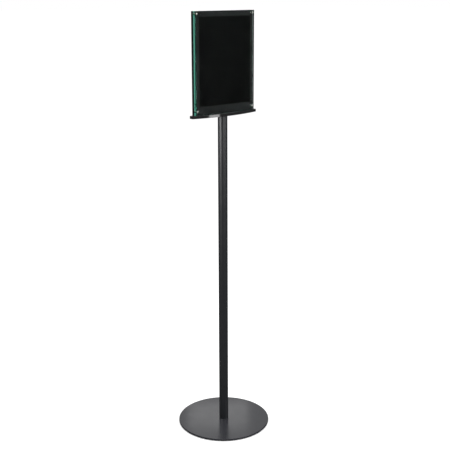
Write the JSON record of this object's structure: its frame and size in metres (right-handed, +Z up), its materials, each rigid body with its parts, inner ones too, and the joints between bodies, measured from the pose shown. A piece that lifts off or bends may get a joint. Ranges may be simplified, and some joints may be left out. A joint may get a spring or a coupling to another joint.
{
  "type": "sign stand",
  "caption": "Free-standing sign holder: a round weighted base, a tube post and an upright magnetic acrylic block frame on a bow-fronted plate.",
  "frame": {"origin": "on the floor, on the post's axis, at the middle of the base", "axes": "+Z up the post, +X along the sign's width to the right of a person who faces it, and -Y the side that the sign faces"},
  "size_m": [0.32, 0.32, 1.431],
  "materials": {
    "base_coat": "satin powder coat",
    "post_coat": "satin powder coat",
    "rubber_feet": "matt",
    "zinc_steel": "zinc plated",
    "nylon": "matt",
    "black_acrylic": "polished",
    "insert_brass": "knurled",
    "magnet_nickel": "nickel plated",
    "sheet_black": "smooth matt",
    "clear_acrylic": "polished, green edges"
  },
  "bodies": {
    "stand": {"base_disc": "base_coat", "base_feet": "rubber_feet", "base_bolt": "zinc_steel", "post_tube": "post_coat", "post_lower_plug": "zinc_steel", "post_upper_plug": "zinc_steel", "thrust_washer": "nylon", "head_screw": "zinc_steel", "spring_washer": "zinc_steel"},
    "head": {"head_plate": "black_acrylic", "head_bush": "zinc_steel", "block_screws": "zinc_steel", "block_inserts": "insert_brass", "rear_block": "black_acrylic", "rear_magnets": "magnet_nickel"},
    "sheet": {"sign_sheet": "sheet_black"},
    "front": {"front_block": "clear_acrylic", "front_magnets": "magnet_nickel"}
  },
  "joints": [
    {"name": "head_swivel", "type": "hinge", "parent": "stand", "child": "head", "pos_m": [0, 0, 1.099], "axis": [0, 0, 1], "continuous": true},
    {"name": "front_pull", "type": "slide", "parent": "head", "child": "front", "axis": [0, -1, 0], "range_m": [0, 0.09]},
    {"name": "sheet_lift", "type": "slide", "parent": "head", "child": "sheet", "axis": [0, 0, 1], "range_m": [0, 0.31]}
  ]
}
